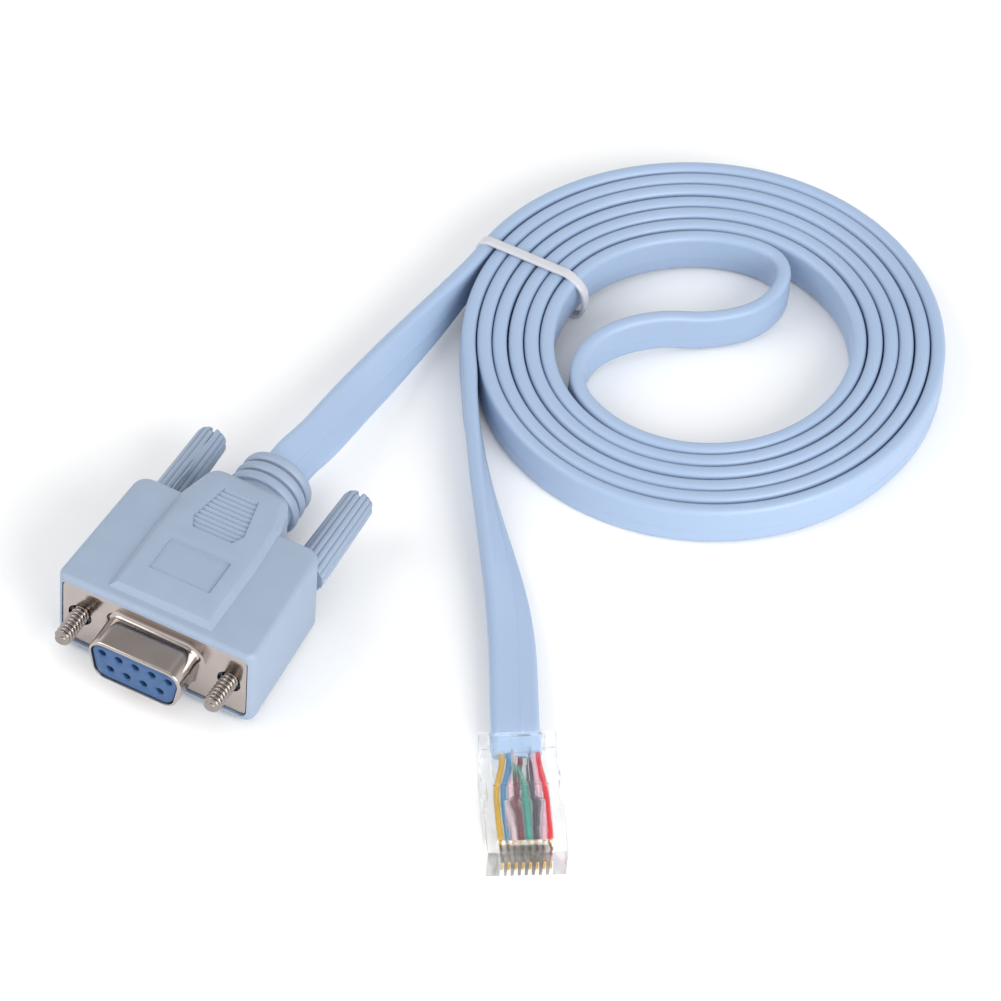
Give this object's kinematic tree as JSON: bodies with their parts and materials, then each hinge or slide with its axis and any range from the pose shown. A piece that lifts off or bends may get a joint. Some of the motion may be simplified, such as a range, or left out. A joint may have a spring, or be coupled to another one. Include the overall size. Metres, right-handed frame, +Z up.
{
  "type": "rj45 console cable",
  "caption": "Flat console cable wound in a flat tied coil, with a moulded D-shaped socket connector with thumbscrews at one end and a clear modular plug at the other.",
  "frame": {"origin": "centre of the bottom of the D connector's box, measured without the cord and the plug on it", "axes": "-Y the way the D connector mates, +Y the way its cable leaves, +X across the connector toward its right thumbscrew seen from the cable's end, +Z up from the surface it rests on"},
  "size_m": [0.0935, 0.141, 0.0166],
  "materials": {
    "hood": "fine moulded texture, light grey-blue",
    "cable": "smooth satin, light blue",
    "steel": "bright nickel plate",
    "insulator": "moulded, mid blue",
    "gold": "gold plate",
    "tie": "glossy off-white",
    "plug": "clear moulded plastic",
    "wire_yellow": "smooth",
    "wire_blue": "smooth",
    "wire_white": "smooth",
    "wire_brown": "smooth",
    "wire_green": "smooth",
    "wire_black": "smooth",
    "wire_pink": "smooth",
    "wire_red": "smooth"
  },
  "bodies": {
    "cable": {"hood": "hood", "shell": "steel", "insulator": "insulator", "socket_1": "gold", "socket_2": "gold", "socket_3": "gold", "socket_4": "gold", "socket_5": "gold", "socket_6": "gold", "socket_7": "gold", "socket_8": "gold", "socket_9": "gold", "cable_connector_lead": "cable", "cable_coil": "cable", "cable_bridge": "cable", "cable_plug_lead": "cable", "tie": "tie", "plug_body": "plug", "blade_1": "gold", "blade_2": "gold", "blade_3": "gold", "blade_4": "gold", "blade_5": "gold", "blade_6": "gold", "blade_7": "gold", "blade_8": "gold", "wire_yellow": "wire_yellow", "wire_blue": "wire_blue", "wire_white": "wire_white", "wire_brown": "wire_brown", "wire_green": "wire_green", "wire_black": "wire_black", "wire_pink": "wire_pink", "wire_red": "wire_red"},
    "thumbscrew_left": {"screw_left": "steel", "grip_left": "hood"},
    "thumbscrew_right": {"screw_right": "steel", "grip_right": "hood"}
  },
  "joints": [
    {"name": "thumbscrew_left_turn", "type": "hinge", "parent": "cable", "child": "thumbscrew_left", "pos_m": [-0.01249, 0.015, 0.0083], "axis": [0, 1, 0], "continuous": true},
    {"name": "thumbscrew_right_turn", "type": "hinge", "parent": "cable", "child": "thumbscrew_right", "pos_m": [0.01249, 0.015, 0.0083], "axis": [0, 1, 0], "continuous": true}
  ]
}
